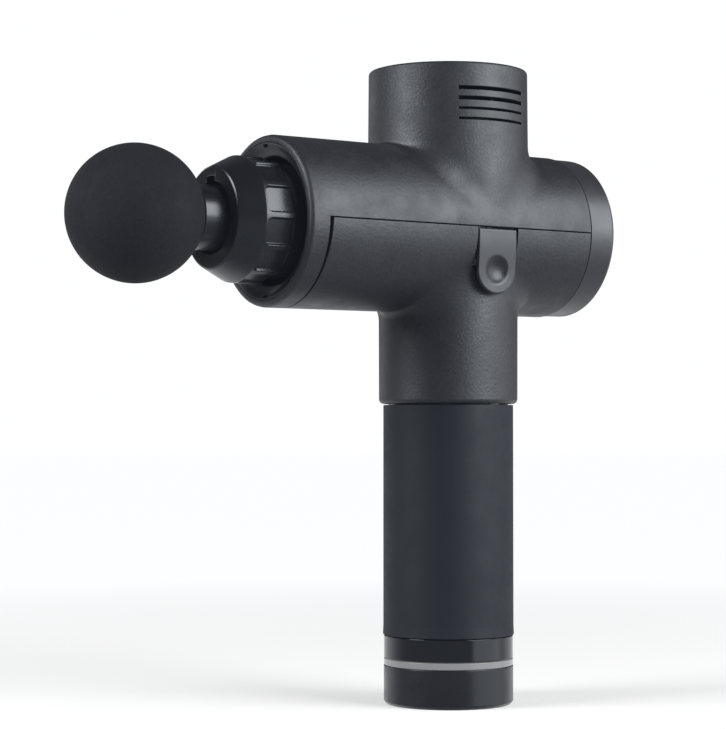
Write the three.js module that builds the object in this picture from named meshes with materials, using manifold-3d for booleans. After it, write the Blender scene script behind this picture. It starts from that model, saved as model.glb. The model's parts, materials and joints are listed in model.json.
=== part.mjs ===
// Handheld percussion massage gun with a foam ball head, in millimetres, +Z up.
// The origin is the centre of the base's underside; the stroke axis runs along X and the head points to -X.
import * as THREE from "three";
import { mergeVertices } from "three/addons/utils/BufferGeometryUtils.js";
import Module from "manifold-3d";

const wasm = await Module();
wasm.setup();

// ---- Driving dimensions ----
const GAP = 0.3; // between pieces that touch on the real object
const ROUND = 40; // segments of the large shells
const MEDIUM = 24; // segments of the turned inner pieces
const SMALL = 12; // segments of pins, screws and cells

const WALL = 2.6; // casing wall
const STROKE_Z = 179; // height of the stroke axis
const BARREL_R = 31.25;
const BARREL_BORE = BARREL_R - WALL;
const BARREL_FRONT = 83; // forward of the handle's axis
const RING_BACK = 75; // the upper casing closes into a full ring in front of this
const BARREL_BACK = 45; // behind the handle's axis
const SEAM = 0.6; // parting line between the two casings

const TOP_Z = 240;
const TOWER_R = 30.6; // motor tower above the barrel
const TOWER_BORE = TOWER_R - WALL;
const VENT_HALF = 14.8;
const VENT_HEIGHT = 1.5;
const VENT_PITCH = 3.8;
const VENT_TOP = 230.1;
const VENT_COUNT = 4;

const NECK_R = 26.45;
const NECK_BORE = 23.4;
const NECK_BOTTOM = 113.4;

const GRIP_R = 24.7; // over the silicone sleeve
const TUBE_R = 22.4;
const TUBE_BORE = 20.6;
const SPIGOT_R = 22.9; // the part of the grip tube inside the neck
const SPIGOT_TOP = 147.5;
const BASE_R = 24.55;
const BASE_TOP = 14.9;
const LIGHT_RING_R = 24.5;
const BAND_R = 24.5; // gloss band between the light ring and the sleeve
const BAND_BOTTOM = 17.6;
const BAND_TOP = 25.9;

const STROKE = 10; // full travel of the head
const CRANK_R = STROKE / 2;
const ROD_R = 6;
const ROLLER_R = 6;

const STEM_R = 11.8;
const BALL_R = 24.5;
const BALL_CENTRE = 136; // forward of the handle's axis
const COLLAR_R = 22.85;
const COLLAR_FACE_R = 18.4;
const COLLAR_FACE = 105.4;
const COLLAR_SHOULDER = 96.1;
const FLUTE_COUNT = 12;

const CAP_R = 30.75; // rear cap
const CAP_BACK = 57.5;

const TAB_HALF = 9;
const TAB_FACE = 31.1; // distance of the tab's flat outer face from the symmetry plane
const TAB_TOP = STROKE_Z - 0.8;
const TAB_PIVOT_Y = 29.4;
const TAB_PIVOT_Z = 174.5;

const PLATE_BOTTOM = 200; // motor plate of the frame
const PLATE_TOP = 203.5;

// ---- Solids from three.js geometry ----
function solid(geometry) {
  const bare = new THREE.BufferGeometry();
  bare.setAttribute("position", geometry.getAttribute("position").clone());
  if (geometry.index) bare.setIndex(geometry.index.clone());
  const merged = mergeVertices(bare, 1e-4);
  const index = merged.index.array;
  const corners = [];
  for (let i = 0; i < index.length; i += 3) {
    const [a, b, c] = [index[i], index[i + 1], index[i + 2]];
    if (a !== b && b !== c && a !== c) corners.push(a, b, c);
  }
  const make = (list) =>
    new wasm.Manifold(
      new wasm.Mesh({
        numProp: 3,
        vertProperties: merged.attributes.position.array,
        triVerts: new Uint32Array(list),
      }),
    );
  const made = make(corners);
  return made.volume() > 0 ? made : make(corners.slice().reverse());
}

function geometryOf(shape) {
  const mesh = shape.getMesh();
  const positions = new Float32Array(mesh.numVert * 3);
  for (let i = 0; i < mesh.numVert; i += 1) {
    const start = i * mesh.numProp;
    positions.set(mesh.vertProperties.subarray(start, start + 3), i * 3);
  }
  const geometry = new THREE.BufferGeometry();
  geometry.setAttribute("position", new THREE.BufferAttribute(positions, 3));
  geometry.setIndex(new THREE.BufferAttribute(new Uint32Array(mesh.triVerts), 1));
  geometry.computeVertexNormals();
  return geometry;
}

const join = (first, ...rest) => rest.reduce((sum, next) => sum.add(next), first);
const carve = (body, ...tools) => tools.reduce((left, tool) => left.subtract(tool), body);

// A closed [radius, height] profile turned about Z. Profiles that start on the axis also end on it.
function turned(profile, segments = MEDIUM) {
  const points = profile.map(([radius, height]) => new THREE.Vector2(radius, height));
  if (profile[0][0] > 0) points.push(points[0].clone());
  return solid(new THREE.LatheGeometry(points, segments).rotateX(Math.PI / 2));
}

const disc = (radius, low, high, segments = MEDIUM) =>
  turned([[0, low], [radius, low], [radius, high], [0, high]], segments);

const ring = (bore, radius, low, high, segments = MEDIUM) =>
  turned([[bore, low], [radius, low], [radius, high], [bore, high]], segments);

function box(x0, x1, y0, y1, z0, z1) {
  const made = new THREE.BoxGeometry(x1 - x0, y1 - y0, z1 - z0);
  return solid(made.translate((x0 + x1) / 2, (y0 + y1) / 2, (z0 + z1) / 2));
}

// A bar of round section along X, at height STROKE_Z.
function barX(radius, x0, x1, segments = ROUND) {
  const made = new THREE.CylinderGeometry(radius, radius, x1 - x0, segments);
  return solid(made.rotateZ(-Math.PI / 2).translate((x0 + x1) / 2, 0, STROKE_Z));
}

const moved = (shape, x, y, z = 0) => shape.translate([x, y, z]);
const spun = (shape, degrees) => shape.rotate([0, 0, degrees]);

// ---- Materials ----
const paint = (color, roughness, metalness = 0) =>
  new THREE.MeshStandardMaterial({ color, roughness, metalness });
const SOFT_BLACK = paint(0x2b2c30, 0.55);
const SATIN_BLACK = paint(0x1c1d20, 0.35);
const GLOSS_BLACK = paint(0x0c0d10, 0.15);
const SILICONE = paint(0x24272d, 0.8);
const FOAM = paint(0x15161a, 0.95);
const LIGHT_GUIDE = paint(0xb9bcc2, 0.4);
const RUBBER = paint(0x141414, 0.8);
const ALUMINIUM = paint(0xa8aaad, 0.4, 0.9);
const STEEL = paint(0x9a9ca0, 0.3, 1);
const BRONZE = paint(0xb08d57, 0.4, 0.9);
const COPPER = paint(0xb4693a, 0.4, 0.9);
const CIRCUIT = paint(0x1d5a34, 0.5);
const CELL_WRAP = paint(0x2f6f9f, 0.4);
const WHITE_PLASTIC = paint(0xd8d8d4, 0.5);

// ---- Groups: one frame for the vertical pieces, one forward along the stroke, one to the rear ----
const massageGun = new THREE.Group();
const upright = new THREE.Group();
const forward = new THREE.Group(); // its +Z is the way the head points, its +X is up
forward.position.z = STROKE_Z;
forward.rotation.y = -Math.PI / 2;
const rearward = new THREE.Group(); // its +Z points out of the rear panel
rearward.position.z = STROKE_Z;
rearward.rotation.y = Math.PI / 2;
massageGun.add(upright, forward, rearward);

function place(group, name, shape, material) {
  const mesh = new THREE.Mesh(geometryOf(shape), material);
  mesh.name = name;
  group.add(mesh);
}

// ---- Casings ----
function vents() {
  const slots = [];
  for (let i = 0; i < VENT_COUNT; i += 1) {
    const middle = VENT_TOP - i * VENT_PITCH;
    const [low, high] = [middle - VENT_HEIGHT / 2, middle + VENT_HEIGHT / 2];
    slots.push(box(-VENT_HALF, VENT_HALF, -TOWER_R - 1, -TOWER_BORE / 2, low, high));
    slots.push(box(-VENT_HALF, VENT_HALF, TOWER_BORE / 2, TOWER_R + 1, low, high));
  }
  return slots;
}

function upperCasing() {
  const edge = 1.2; // rounding of the tower's top edge
  const tower = turned(
    [[0, STROKE_Z], [TOWER_R, STROKE_Z], [TOWER_R, TOP_Z - edge], [TOWER_R - edge, TOP_Z], [0, TOP_Z]],
    ROUND,
  );
  const outside = join(barX(BARREL_R, -BARREL_FRONT, BARREL_BACK), tower);
  const inside = join(
    barX(BARREL_BORE, -BARREL_FRONT - 1, BARREL_BACK + 1),
    disc(TOWER_BORE, STROKE_Z - 1, TOP_Z - 3, ROUND),
  );
  const lowerHalf = box(-RING_BACK, BARREL_BACK + 1, -40, 40, STROKE_Z - 40, STROKE_Z);
  return carve(outside, inside, lowerHalf, ...vents());
}

// Window and pin holes for the release tab on one side: side is -1 for -Y and +1 for +Y.
function tabRoom(side) {
  const room = 0.4;
  const half = TAB_HALF + room;
  const [inner, outer] = [26.6, 40];
  const [y0, y1] = side < 0 ? [-outer, -inner] : [inner, outer];
  const window = box(-half, half, y0, y1, STROKE_Z - 27, STROKE_Z);
  return [window, tabPin(side, 0.8 + GAP, 11.4)];
}

function tabPin(side, radius, half) {
  const made = new THREE.CylinderGeometry(radius, radius, 2 * half, 12).rotateZ(Math.PI / 2);
  return solid(made.translate(0, side * TAB_PIVOT_Y, TAB_PIVOT_Z));
}

function lowerCasing() {
  const [front, back] = [-RING_BACK + SEAM, BARREL_BACK - GAP];
  const top = STROKE_Z - SEAM / 2;
  const lip = 1.2; // rounding of the neck's lower edge
  const neck = turned(
    [[0, NECK_BOTTOM], [NECK_R - lip, NECK_BOTTOM], [NECK_R, NECK_BOTTOM + lip], [NECK_R, top], [0, top]],
    ROUND,
  );
  const outside = join(barX(BARREL_R, front, back), neck);
  const inside = join(
    barX(BARREL_BORE, front - 1, back + 1),
    disc(NECK_BORE, NECK_BOTTOM - 1, top + 1, ROUND),
  );
  const upperHalf = box(front - 1, back + 1, -40, 40, top, STROKE_Z + 40);
  return carve(outside, inside, upperHalf, ...tabRoom(-1), ...tabRoom(1));
}

// U-shaped press tab with a round finger dimple, hinged near its top edge.
function releaseTab(side) {
  const thickness = 3;
  const roundCentre = TAB_TOP - 15.4;
  const outline = new THREE.Shape();
  outline.moveTo(TAB_HALF, TAB_TOP);
  outline.lineTo(-TAB_HALF, TAB_TOP);
  outline.lineTo(-TAB_HALF, roundCentre);
  outline.absarc(0, roundCentre, TAB_HALF, Math.PI, 2 * Math.PI, false);
  const plate = new THREE.ExtrudeGeometry(outline, {
    depth: thickness,
    bevelEnabled: false,
    curveSegments: 12,
  });
  plate.rotateX(Math.PI / 2);
  plate.translate(0, side < 0 ? -TAB_FACE + thickness : TAB_FACE, 0);
  const [dimpleR, dimpleDepth] = [5.1, 1.6];
  const ballR = (dimpleR ** 2 + dimpleDepth ** 2) / (2 * dimpleDepth);
  const ballY = side * (TAB_FACE - dimpleDepth + ballR);
  const dimple = solid(new THREE.SphereGeometry(ballR, 24, 16).translate(0, ballY, roundCentre));
  const [near, far] = [22, TAB_FACE - thickness + 0.5];
  const finger = box(-3, 3, side < 0 ? -far : near, side < 0 ? -near : far, 172, 174);
  return carve(join(solid(plate), finger), dimple, tabPin(side, 0.8 + GAP, TAB_HALF + 1));
}

place(upright, "upper_casing", upperCasing(), SOFT_BLACK);
place(upright, "lower_casing", lowerCasing(), SOFT_BLACK);
for (const [name, side] of [["left", -1], ["right", 1]]) {
  place(upright, `${name}_release_tab`, releaseTab(side), SOFT_BLACK);
  place(upright, `${name}_tab_pin`, tabPin(side, 0.8, 11), STEEL);
}

// ---- Front bezel: the dished ring inside the barrel's mouth, with a snap slot at top and bottom ----
function frontBezel() {
  const [back, lip, throat, outer] = [72.5, 82.8, 23.3, 28.4];
  const dish = turned(
    [[throat, back], [outer, back], [outer, lip], [27.9, lip], [23.7, 80], [throat, 79.4]],
    ROUND,
  );
  const slot = (x0, x1) => box(x0, x1, -1.6, 1.6, lip - 1.6, lip + 1);
  return carve(dish, slot(26.6, 27.7), slot(-27.7, -26.6));
}
place(forward, "front_bezel", frontBezel(), SATIN_BLACK);

// ---- Rear end ----
const PANEL_R = 22.8;
const BUTTON_R = 6.2;

function rearCap() {
  const [ledgeR, seat, spigot] = [19.5, CAP_BACK - 1.9, 39];
  return turned(
    [
      [CAP_R, BARREL_BACK + 0.4],
      [CAP_R, CAP_BACK - 1.6],
      [CAP_R - 1.6, CAP_BACK],
      [PANEL_R + 0.4, CAP_BACK],
      [PANEL_R + 0.4, seat],
      [ledgeR, seat],
      [ledgeR, seat - 2.2],
      [25.6, seat - 2.2],
      [25.6, spigot],
      [28, spigot],
      [28, BARREL_BACK + 0.4],
    ],
    ROUND,
  );
}

function controlBoard() {
  const board = disc(24.5, 44.5, 46.1);
  const switchBody = join(box(-3.5, 3.5, -3.5, 3.5, 46, 48.6), disc(1.8, 48.5, 49.1, SMALL));
  const chip = box(-19, -12.5, -4, 4, 43.4, 44.6);
  const connector = box(-4, 4, 15, 20, 40.5, 44.6);
  const coil = moved(disc(3.4, 41.5, 44.6, SMALL), 13, -9);
  return join(board, switchBody, chip, connector, coil);
}

place(rearward, "rear_cap", rearCap(), SATIN_BLACK);
const displayPanel = ring(BUTTON_R + 0.4, PANEL_R, CAP_BACK - 1.6, CAP_BACK - 0.2, ROUND);
place(rearward, "display_panel", displayPanel, GLOSS_BLACK);
place(rearward, "light_guide", ring(12, 15.5, 46.4, CAP_BACK - 1.9), LIGHT_GUIDE);
place(rearward, "control_board", controlBoard(), CIRCUIT);
const buttonProfile = [
  [0, 50.4],
  [3, 50.4],
  [3, CAP_BACK - 3.7],
  [BUTTON_R + 2.2, CAP_BACK - 3.7],
  [BUTTON_R + 2.2, CAP_BACK - 1.9],
  [BUTTON_R, CAP_BACK - 1.9],
  [BUTTON_R, CAP_BACK - 0.4],
  [BUTTON_R - 0.6, CAP_BACK + 0.2],
  [0, CAP_BACK + 0.2],
];
place(rearward, "power_button", turned(buttonProfile), SATIN_BLACK);

// ---- Frame that carries the motor and guides the piston ----
const FRAME_FLOOR = STROKE_Z - 14;
const SCREW_CIRCLE = 14.5;
const SCREW_ANGLES = [60, 180, 300];

const onScrewCircle = (shape, degrees) => spun(moved(shape, SCREW_CIRCLE, 0), degrees);

function mechanismFrame() {
  const sideWalls = [-1, 1].flatMap((side) => {
    const [y0, y1] = side < 0 ? [-20.5, -17.5] : [17.5, 20.5];
    return [
      box(-29, 22.5, y0, y1, FRAME_FLOOR, 196),
      box(-14.5, 14.5, y0, y1, 195, PLATE_BOTTOM + 0.5),
    ];
  });
  const frontWall = box(-29, -24, -20.5, 20.5, FRAME_FLOOR, 196);
  const backWall = box(19.5, 22.5, -20.5, 20.5, FRAME_FLOOR, 196);
  const plate = disc(25.5, PLATE_BOTTOM, PLATE_TOP, ROUND);
  const bearingBoss = disc(11.5, 191.5, PLATE_BOTTOM + 0.5);
  const nose = barX(13, -51, -24, MEDIUM);
  const guideBore = barX(10.3, -52, -23, MEDIUM);
  const bearingBore = disc(8.3, 191, PLATE_TOP + 1);
  const screwHole = disc(1.5, PLATE_BOTTOM - 1, PLATE_TOP + 1, 12);
  return carve(
    join(plate, bearingBoss, frontWall, backWall, nose, ...sideWalls),
    guideBore,
    bearingBore,
    ...SCREW_ANGLES.map((angle) => onScrewCircle(screwHole, angle)),
  );
}

place(upright, "mechanism_frame", mechanismFrame(), ALUMINIUM);
place(upright, "main_bearing", ring(3.3, 8, 192, 199.5), STEEL);
place(upright, "plate_damper", ring(25.8, 27.2, 199.5, 204, ROUND), RUBBER);
place(forward, "nose_damper", ring(13.3, 28, 44, 48), RUBBER);
place(forward, "guide_bush", ring(ROD_R + GAP, 10, 22.5, 50.5), BRONZE);

// ---- Motor: an outer-rotor machine standing in the tower ----
const TOOTH_COUNT = 12;

function motorBase() {
  const flange = ring(4, 20, PLATE_TOP + GAP, 206);
  const post = ring(3.6, 6.4, 205.9, 220.5);
  const screwHole = disc(1.5, PLATE_TOP, 207, 12);
  return carve(join(flange, post), ...SCREW_ANGLES.map((angle) => onScrewCircle(screwHole, angle)));
}

function motorStator() {
  const [low, high] = [207, 218];
  const hub = ring(6.8, 9, low, high);
  const arm = box(8.5, 16, -1.1, 1.1, low, high);
  const shoe = box(15.6, 17, -3.2, 3.2, low, high);
  const teeth = [];
  for (let i = 0; i < TOOTH_COUNT; i += 1) {
    teeth.push(spun(join(arm, shoe), (i * 360) / TOOTH_COUNT));
  }
  return join(hub, ...teeth);
}

// Copper in the slots between the teeth, joined by the end turns above the core.
function motorWinding() {
  const endTurns = ring(9.6, 15.2, 218.4, 221);
  const fillings = [];
  for (let i = 0; i < TOOTH_COUNT; i += 1) {
    const filling = box(10.6, 14.6, -1.2, 1.2, 207.2, 218.6);
    fillings.push(spun(filling, ((i + 0.5) * 360) / TOOTH_COUNT));
  }
  return join(endTurns, ...fillings);
}

function frameScrew() {
  const slot = box(-2, 2, -0.4, 0.4, 197, 198.4);
  return carve(join(disc(2.5, 197.6, 199.7, SMALL), disc(1.2, 199.6, 205.6, SMALL)), slot);
}

place(upright, "motor_base", motorBase(), ALUMINIUM);
place(upright, "motor_stator", motorStator(), STEEL);
place(upright, "motor_winding", motorWinding(), COPPER);
SCREW_ANGLES.forEach((angle, i) => {
  place(upright, `frame_screw_${i + 1}`, onScrewCircle(frameScrew(), angle), STEEL);
});

// ---- Crank: rotor, shaft, fan, disc, pin and roller turn together ----
function rotorBell() {
  const bell = turned([
    [3.3, 221.9],
    [19.6, 221.9],
    [19.6, 206.6],
    [21.5, 206.6],
    [21.5, 223.6],
    [3.3, 223.6],
  ]);
  const window = moved(disc(3, 221, 225, 12), 12.5, 0);
  const windows = [0, 1, 2, 3, 4, 5].map((i) => spun(window, i * 60));
  return carve(bell, ...windows);
}

function fanImpeller() {
  const hub = ring(3.3, 7.5, 224.2, 229);
  const floor = ring(7, 23, 224.2, 225.2);
  const blade = box(7, 22.6, -0.6, 0.6, 225, 233);
  const blades = [];
  for (let i = 0; i < 9; i += 1) blades.push(spun(blade, i * 40));
  return join(hub, floor, ...blades);
}

// The pin and the shaft overlap in plan, so each has a blind seat from its own side of the disc.
function crankDisc() {
  const [low, high] = [185.4, 191];
  const shaftSeat = disc(3.3, 188.5, high + 1, SMALL);
  const pinSeat = moved(disc(2.9, low - 1, 188, SMALL), 0, CRANK_R);
  const lightening = box(-16, 16, 9.5, 16, low - 1, 188); // leaves the counterweight opposite the pin
  return carve(disc(15, low, high), shaftSeat, pinSeat, lightening);
}

place(upright, "motor_shaft", disc(3, 188.8, 226, SMALL), STEEL);
place(upright, "rotor_bell", rotorBell(), STEEL);
place(upright, "rotor_magnets", ring(17.9, 19.3, 207, 218), SATIN_BLACK);
place(upright, "fan_impeller", fanImpeller(), SATIN_BLACK);
place(upright, "crank_disc", crankDisc(), STEEL);
place(upright, "crank_pin", moved(disc(2.6, 174.2, 187.7, SMALL), 0, CRANK_R), STEEL);
place(upright, "crank_roller", moved(ring(2.9, ROLLER_R, 174.8, 183.2, 24), 0, CRANK_R), STEEL);

// ---- Piston: the roller runs in the yoke's cross slot and drives it along the stroke axis ----
// The slot is 1.35 mm wider each side than the roller, because the crank turns in proportion to the travel.
function pistonYoke() {
  const [halfX, halfY, halfZ] = [12, 15.5, 4.3];
  const [slotX, slotY] = [ROLLER_R + 1.35, 12.3];
  const block = box(-halfX, halfX, -halfY, halfY, STROKE_Z - halfZ, STROKE_Z + halfZ);
  const slot = box(-slotX, slotX, -slotY, slotY, STROKE_Z - 10, STROKE_Z + 10);
  return join(carve(block, slot), barX(4, -20, -11, SMALL));
}

function pistonRod() {
  const rod = disc(ROD_R, 12.3, 58);
  return carve(rod, disc(4.3, 12, 20.4, SMALL), disc(3, 49, 59, SMALL));
}

const KEY_HALF = 1.4;
const KEYWAY_HALF = 1.7;

function chuckSocket() {
  const cup = turned([[3, 58.3], [15.6, 58.3], [15.6, 97], [12.4, 97], [12.4, 64], [3, 64]]);
  return carve(cup, box(11, 14.2, -KEYWAY_HALF, KEYWAY_HALF, 70, 98));
}

function chuckScrew() {
  const body = join(disc(5, 64.3, 68, SMALL), disc(2.7, 50, 64.4, SMALL));
  return carve(body, disc(2.4, 66, 69, 6));
}

// Hand-turned ring: a cone in front, flat finger flutes between narrow ribs behind it.
function lockCollar() {
  const bore = 16;
  const body = turned(
    [
      [bore, 66],
      [20.5, 66],
      [20.5, 83.1],
      [COLLAR_R, 83.9],
      [COLLAR_R, COLLAR_SHOULDER],
      [COLLAR_FACE_R + 0.5, COLLAR_FACE - 0.5],
      [COLLAR_FACE_R, COLLAR_FACE],
      [13.1, COLLAR_FACE],
      [13.1, 98.5],
      [bore, 98.5],
    ],
    ROUND,
  );
  const flute = box(COLLAR_R - 0.9, 25, -4.8, 4.8, 83, 95.3);
  const flutes = [];
  for (let i = 0; i < FLUTE_COUNT; i += 1) {
    flutes.push(spun(flute, ((i + 0.5) * 360) / FLUTE_COUNT));
  }
  const notch = box(12, 14.9, -KEYWAY_HALF, KEYWAY_HALF, 98, COLLAR_FACE + 1);
  return carve(body, notch, ...flutes);
}

place(upright, "piston_yoke", pistonYoke(), STEEL);
place(forward, "piston_rod", pistonRod(), STEEL);
place(forward, "chuck_socket", chuckSocket(), ALUMINIUM);
place(forward, "chuck_screw", chuckScrew(), STEEL);
place(forward, "lock_collar", lockCollar(), GLOSS_BLACK);

// ---- Massage head: foam ball on a plastic stem that plugs into the socket ----
const GROOVES = [76, 88]; // where each O-ring's groove starts

function headStem() {
  const [back, shoulder, tip] = [68.8, 114.4, 140];
  const profile = [[0, back], [STEM_R - 0.8, back], [STEM_R, back + 0.8]];
  for (const groove of GROOVES) {
    profile.push([STEM_R, groove], [10.5, groove], [10.5, groove + 2.8], [STEM_R, groove + 2.8]);
  }
  profile.push([STEM_R, shoulder], [8, shoulder], [8, tip], [0, tip]);
  return join(turned(profile), box(11, 13.6, -KEY_HALF, KEY_HALF, 80.5, 86.5));
}

function oRing(groove) {
  const [middleR, halfR, middle, half] = [11.5, 0.72, groove + 1.4, 1.1];
  const profile = [];
  for (let i = 0; i < 6; i += 1) {
    const angle = (i * Math.PI) / 3;
    profile.push([middleR + halfR * Math.cos(angle), middle + half * Math.sin(angle)]);
  }
  return turned(profile);
}

function ballHead() {
  const seat = 114.75;
  const mouth = Math.sqrt(BALL_R ** 2 - (BALL_CENTRE - seat) ** 2);
  const start = Math.atan2(mouth, seat - BALL_CENTRE);
  const steps = 12;
  const profile = [[0, 140.4], [8.3, 140.4], [8.3, seat]];
  for (let i = 0; i < steps; i += 1) {
    const angle = start * (1 - i / steps);
    profile.push([BALL_R * Math.sin(angle), BALL_CENTRE + BALL_R * Math.cos(angle)]);
  }
  profile.push([0, BALL_CENTRE + BALL_R]);
  return turned(profile, 32);
}

place(forward, "head_stem", headStem(), SATIN_BLACK);
place(forward, "rear_o_ring", oRing(GROOVES[0]), RUBBER);
place(forward, "front_o_ring", oRing(GROOVES[1]), RUBBER);
place(forward, "ball_head", ballHead(), FOAM);

// ---- Battery grip: slides down out of the neck ----
const CELL_R = 9.1;
const CELL_CIRCLE = 10.7;
const CELL_LENGTH = 65;
const CELL_STARTS = [16, 82.3];

function gripTube() {
  return turned(
    [
      [TUBE_BORE, BAND_BOTTOM],
      [BAND_R, BAND_BOTTOM],
      [BAND_R, BAND_TOP],
      [TUBE_R, BAND_TOP],
      [TUBE_R, NECK_BOTTOM - 0.2],
      [SPIGOT_R, NECK_BOTTOM - 0.2],
      [SPIGOT_R, SPIGOT_TOP],
      [TUBE_BORE, SPIGOT_TOP],
    ],
    ROUND,
  );
}

function baseCap() {
  const [floor, shelf, lipTop, edge] = [3.2, 13, 17.2, 1.1];
  const cap = turned(
    [
      [0, 0],
      [BASE_R - edge, 0],
      [BASE_R, edge],
      [BASE_R, BASE_TOP],
      [21.2, BASE_TOP],
      [21.2, lipTop],
      [20.2, lipTop],
      [20.2, shelf],
      [21.9, shelf - 1.7],
      [21.9, floor],
      [0, floor],
    ],
    ROUND,
  );
  return carve(cap, moved(disc(4, -1, floor + 1, SMALL), JACK_X, 0));
}

const JACK_X = 12;

function chargingJack() {
  const body = join(disc(4.6, 3.5, 12.5, SMALL), disc(3.7, 0.5, 3.6, SMALL));
  return moved(join(carve(body, disc(2.9, 0, 11, SMALL)), disc(1, 1.5, 11.2, 12)), JACK_X, 0);
}

function batteryBoard() {
  const board = disc(19.6, 13.3, 14.9);
  return join(board, box(-12, -4, -6, 6, 11.8, 13.4), box(-3, 3, 9, 15, 10.8, 13.4));
}

function topPlug() {
  const lid = turned([[0, 147.9], [SPIGOT_R, 147.9], [SPIGOT_R, 151], [SPIGOT_R - 1, 152], [0, 152]], ROUND);
  return join(lid, box(-8, 8, -5, 5, 151.9, 154.6));
}

function contactCarrier() {
  const plate = disc(23, 155.2, 158.2, ROUND);
  return carve(plate, box(-8.4, 8.4, -5.4, 5.4, 154, 156.2));
}

place(upright, "grip_tube", gripTube(), GLOSS_BLACK);
place(upright, "grip_sleeve", ring(TUBE_R + GAP, GRIP_R, BAND_TOP + GAP, NECK_BOTTOM - 0.4, ROUND), SILICONE);
place(upright, "light_ring", ring(21.5, LIGHT_RING_R, BASE_TOP + GAP, BAND_BOTTOM - GAP, ROUND), LIGHT_GUIDE);
place(upright, "base_cap", baseCap(), SATIN_BLACK);
place(upright, "charging_jack", chargingJack(), STEEL);
place(upright, "battery_board", batteryBoard(), CIRCUIT);
CELL_STARTS.forEach((start, layer) => {
  for (let i = 0; i < 3; i += 1) {
    const cell = moved(disc(CELL_R, start, start + CELL_LENGTH, SMALL), CELL_CIRCLE, 0);
    place(upright, `battery_cell_${layer * 3 + i + 1}`, spun(cell, i * 120), CELL_WRAP);
  }
});
place(upright, "cell_spacer", disc(20, 81.2, 82.1), WHITE_PLASTIC);
place(upright, "battery_plug", topPlug(), SATIN_BLACK);
place(upright, "contact_carrier", contactCarrier(), WHITE_PLASTIC);

export default massageGun;
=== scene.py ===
"""Massage gun with a foam ball head, standing on its battery grip: detailed surfaces on the CAD frame."""
import json
import math
import bmesh
import bpy
import numpy as np
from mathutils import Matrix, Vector


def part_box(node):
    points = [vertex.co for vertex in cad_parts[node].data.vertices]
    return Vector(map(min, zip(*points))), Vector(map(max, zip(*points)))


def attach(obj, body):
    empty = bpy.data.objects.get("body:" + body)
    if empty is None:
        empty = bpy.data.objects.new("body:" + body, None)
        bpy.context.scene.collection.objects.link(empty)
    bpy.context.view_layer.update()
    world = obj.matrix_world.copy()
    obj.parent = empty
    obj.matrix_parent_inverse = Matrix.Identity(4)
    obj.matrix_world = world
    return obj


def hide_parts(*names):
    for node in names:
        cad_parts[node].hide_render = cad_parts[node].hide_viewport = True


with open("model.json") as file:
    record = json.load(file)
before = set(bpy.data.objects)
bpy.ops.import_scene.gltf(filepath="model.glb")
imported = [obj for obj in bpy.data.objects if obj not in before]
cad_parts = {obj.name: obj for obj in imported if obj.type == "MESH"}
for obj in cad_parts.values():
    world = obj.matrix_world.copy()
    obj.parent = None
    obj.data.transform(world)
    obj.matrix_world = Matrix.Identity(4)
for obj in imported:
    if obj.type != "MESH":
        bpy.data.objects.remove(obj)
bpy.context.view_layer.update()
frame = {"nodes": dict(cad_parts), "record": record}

MM = 0.001


def extent(node):
    """Lowest and highest corner of a CAD node, in millimetres."""
    low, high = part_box(node)
    return np.array(low) / MM, np.array(high) / MM


# ---------------------------------------------------------------- sizes, in millimetres
UPPER_LOW, UPPER_HIGH = extent("upper_casing")
LOWER_LOW = extent("lower_casing")[0]
SLEEVE_LOW, SLEEVE_HIGH = extent("grip_sleeve")
TUBE_LOW, TUBE_HIGH = extent("grip_tube")
LIGHT_LOW, LIGHT_HIGH = extent("light_ring")
BASE_HIGH = extent("base_cap")[1]
CAP_HIGH = extent("rear_cap")[1]
COLLAR_LOW, COLLAR_HIGH = extent("lock_collar")
BALL_LOW, BALL_HIGH = extent("ball_head")
BEZEL_LOW = extent("front_bezel")[0]
TAB_LOW, TAB_HIGH = extent("left_release_tab")
PIN_LOW, PIN_HIGH = extent("left_tab_pin")

AXIS_Z = float(COLLAR_LOW[2] + COLLAR_HIGH[2]) / 2  # height of the stroke axis
BARREL_R = float(UPPER_HIGH[1])
BARREL_FRONT = float(UPPER_LOW[0])
BARREL_BACK = float(UPPER_HIGH[0])
TOP_Z = float(UPPER_HIGH[2])
NECK_BOTTOM = float(LOWER_LOW[2])
RING_BACK = float(LOWER_LOW[0]) - 0.6  # where the upper casing's full ring ends
WALL = 2.6
TOWER_R = 30.75  # radius of the tower level with the stroke axis
TOWER_TAPER = 0.008
NECK_R = 26.45  # radius of the neck under the barrel
NECK_TAPER = 0.003
NECK_DROP = 30  # how far below the stroke axis the neck's radius is measured
TOWER_FILLET = (1.8, 3.2)  # radius of the tower's fillet with the barrel, in front and behind
NECK_FILLET = (2.9, 1.7)
SIDE_FILLET = 17.0  # and of both at the sides


# ---------------------------------------------------------------- meshes
def make_piece(name, verts, faces, body, nodes=(), normals=None, look=None):
    """An object from points in millimetres, riding on a CAD body in place of CAD nodes."""
    mesh = bpy.data.meshes.new(name)
    mesh.from_pydata((np.asarray(verts) * MM).tolist(), [], faces)
    mesh.update()
    mesh.shade_smooth()
    if normals is not None:
        mesh.normals_split_custom_set_from_vertices(np.asarray(normals).tolist())
    piece = bpy.data.objects.new(name, mesh)
    bpy.context.scene.collection.objects.link(piece)
    if look is not None:
        mesh.materials.append(look)
    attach(piece, body)
    if nodes:
        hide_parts(*nodes)
    return piece


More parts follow.
